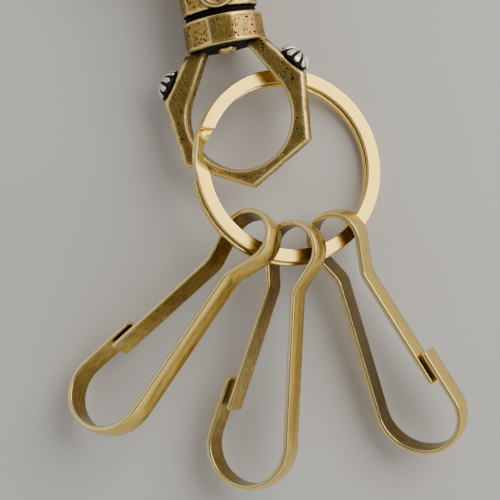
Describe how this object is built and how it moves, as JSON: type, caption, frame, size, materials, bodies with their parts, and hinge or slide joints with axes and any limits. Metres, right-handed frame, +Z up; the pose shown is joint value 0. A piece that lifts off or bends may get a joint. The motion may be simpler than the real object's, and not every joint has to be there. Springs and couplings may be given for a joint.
{
  "type": "carabiner keyring",
  "caption": "Brass keyring: a sprung-gate carabiner swivels on a hexagonal shackle that carries a flat split ring with flat-strip spring hooks for keys.",
  "frame": {"origin": "on the surface that the keyring lies on, under the middle of its bounding box", "axes": "+Z up from the surface, +Y from the hooks towards the carabiner, +X to the right of the hooks' splay"},
  "size_m": [0.0608, 0.1232, 0.0143],
  "materials": {
    "antique_brass": "cast brass with a dark antique patina in its pits and rubbed bright on its edges",
    "pin_brass": "peened brass pin heads, dented and rubbed bright",
    "silvered_stud": "pale polished ribs with black patina in the grooves",
    "blackened_washer": "blackened brass washer, matt",
    "spring_steel": "drawn spring wire",
    "satin_ring_brass": "satin brass with fine brushing round the ring",
    "satin_strip_brass": "tumbled satin brass strip with brighter edges and faint brown tarnish"
  },
  "bodies": {
    "carabiner": {"carabiner_frame": "antique_brass", "gate_pin": "pin_brass", "gate_spring": "spring_steel", "swivel_pin": "pin_brass", "swivel_washer": "blackened_washer"},
    "gate": {"carabiner_gate": "antique_brass"},
    "shackle": {"shackle_collar": "antique_brass", "stud_left": "silvered_stud", "stud_right": "silvered_stud"},
    "ring": {"split_ring": "satin_ring_brass"},
    "hook_left": {"hook_left_body": "satin_strip_brass"},
    "hook_middle": {"hook_middle_body": "satin_strip_brass"},
    "hook_right": {"hook_right_body": "satin_strip_brass"},
    "gate_left": {"hook_left_gate": "satin_strip_brass"},
    "gate_middle": {"hook_middle_gate": "satin_strip_brass"},
    "gate_right": {"hook_right_gate": "satin_strip_brass"}
  },
  "joints": [
    {"name": "gate_hinge", "type": "hinge", "parent": "carabiner", "child": "gate", "pos_m": [-0.02085, 0.02533, 0.00607], "axis": [0, 0, 1], "range_deg": [-30, 0], "stiffness_Nm_per_rad": 0.02, "springref_deg": 14.32, "deforming": ["gate_spring"]},
    {"name": "swivel", "type": "hinge", "parent": "carabiner", "child": "shackle", "pos_m": [-0.00647, 0.00728, 0.00607], "axis": [-0.1942, 0.981, 0], "continuous": true},
    {"name": "ring_swing", "type": "hinge", "parent": "shackle", "child": "ring", "pos_m": [0.00129, -0.01339, 0.00677], "axis": [-0.3316, 0.943, -0.0276], "range_deg": [0, 110]},
    {"name": "hook_left_swing", "type": "hinge", "parent": "ring", "child": "hook_left", "pos_m": [-0.00307, -0.02435, 0.00996], "axis": [-0.8284, 0.5192, 0.2102], "range_deg": [-12, 14]},
    {"name": "hook_middle_swing", "type": "hinge", "parent": "ring", "child": "hook_middle", "pos_m": [0.00387, -0.02638, 0.00784], "axis": [-0.9441, -0.002, 0.3298], "range_deg": [-8, 12]},
    {"name": "hook_right_swing", "type": "hinge", "parent": "ring", "child": "hook_right", "pos_m": [0.01071, -0.02426, 0.00513], "axis": [-0.7724, -0.5299, 0.3501], "range_deg": [-12, 20]},
    {"name": "hook_left_snap", "type": "hinge", "parent": "hook_left", "child": "gate_left", "pos_m": [-0.00818, -0.02765, 0.00806], "axis": [-0.503, 0.3122, 0.8059], "range_deg": [0, 14], "stiffness_Nm_per_rad": 0.01, "springref_deg": -2.86},
    {"name": "hook_middle_snap", "type": "hinge", "parent": "hook_middle", "child": "gate_middle", "pos_m": [0.00081, -0.03145, 0.00647], "axis": [-0.4631, 0.0386, 0.8855], "range_deg": [0, 14], "stiffness_Nm_per_rad": 0.01, "springref_deg": -2.86},
    {"name": "hook_right_snap", "type": "hinge", "parent": "hook_right", "child": "gate_right", "pos_m": [0.01521, -0.02904, 0.00617], "axis": [0.4152, 0.2, -0.8875], "range_deg": [0, 14], "stiffness_Nm_per_rad": 0.01, "springref_deg": -2.86}
  ]
}
